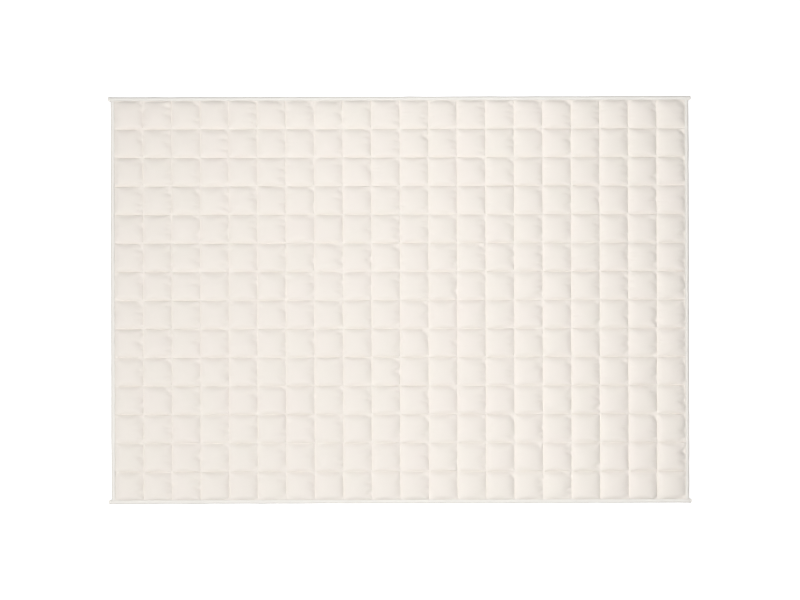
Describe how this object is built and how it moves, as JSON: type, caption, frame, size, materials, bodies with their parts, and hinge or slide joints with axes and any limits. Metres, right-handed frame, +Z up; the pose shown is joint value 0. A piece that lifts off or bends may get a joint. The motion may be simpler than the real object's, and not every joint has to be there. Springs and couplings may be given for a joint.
{
  "type": "weighted blanket",
  "caption": "Flat rectangular weighted blanket, quilted into square filled pockets, its edges bound with narrow folded tape that ends in small nubs at the corners.",
  "frame": {"origin": "middle of the underside, on the surface that the blanket lies on", "axes": "+X along the long side, towards the right binding; +Y along the short side, towards the far binding; +Z up, out of the quilted face"},
  "size_m": [2.016, 1.4078, 0.0174],
  "materials": {
    "cover_cloth": "matt, soft plain-woven cotton in warm cream",
    "binding_tape": "matt, closely woven cotton tape in off-white"
  },
  "bodies": {
    "root": {"quilted_panel": "cover_cloth", "binding_far": "binding_tape", "binding_near": "binding_tape", "binding_left": "binding_tape", "binding_right": "binding_tape"}
  },
  "joints": []
}
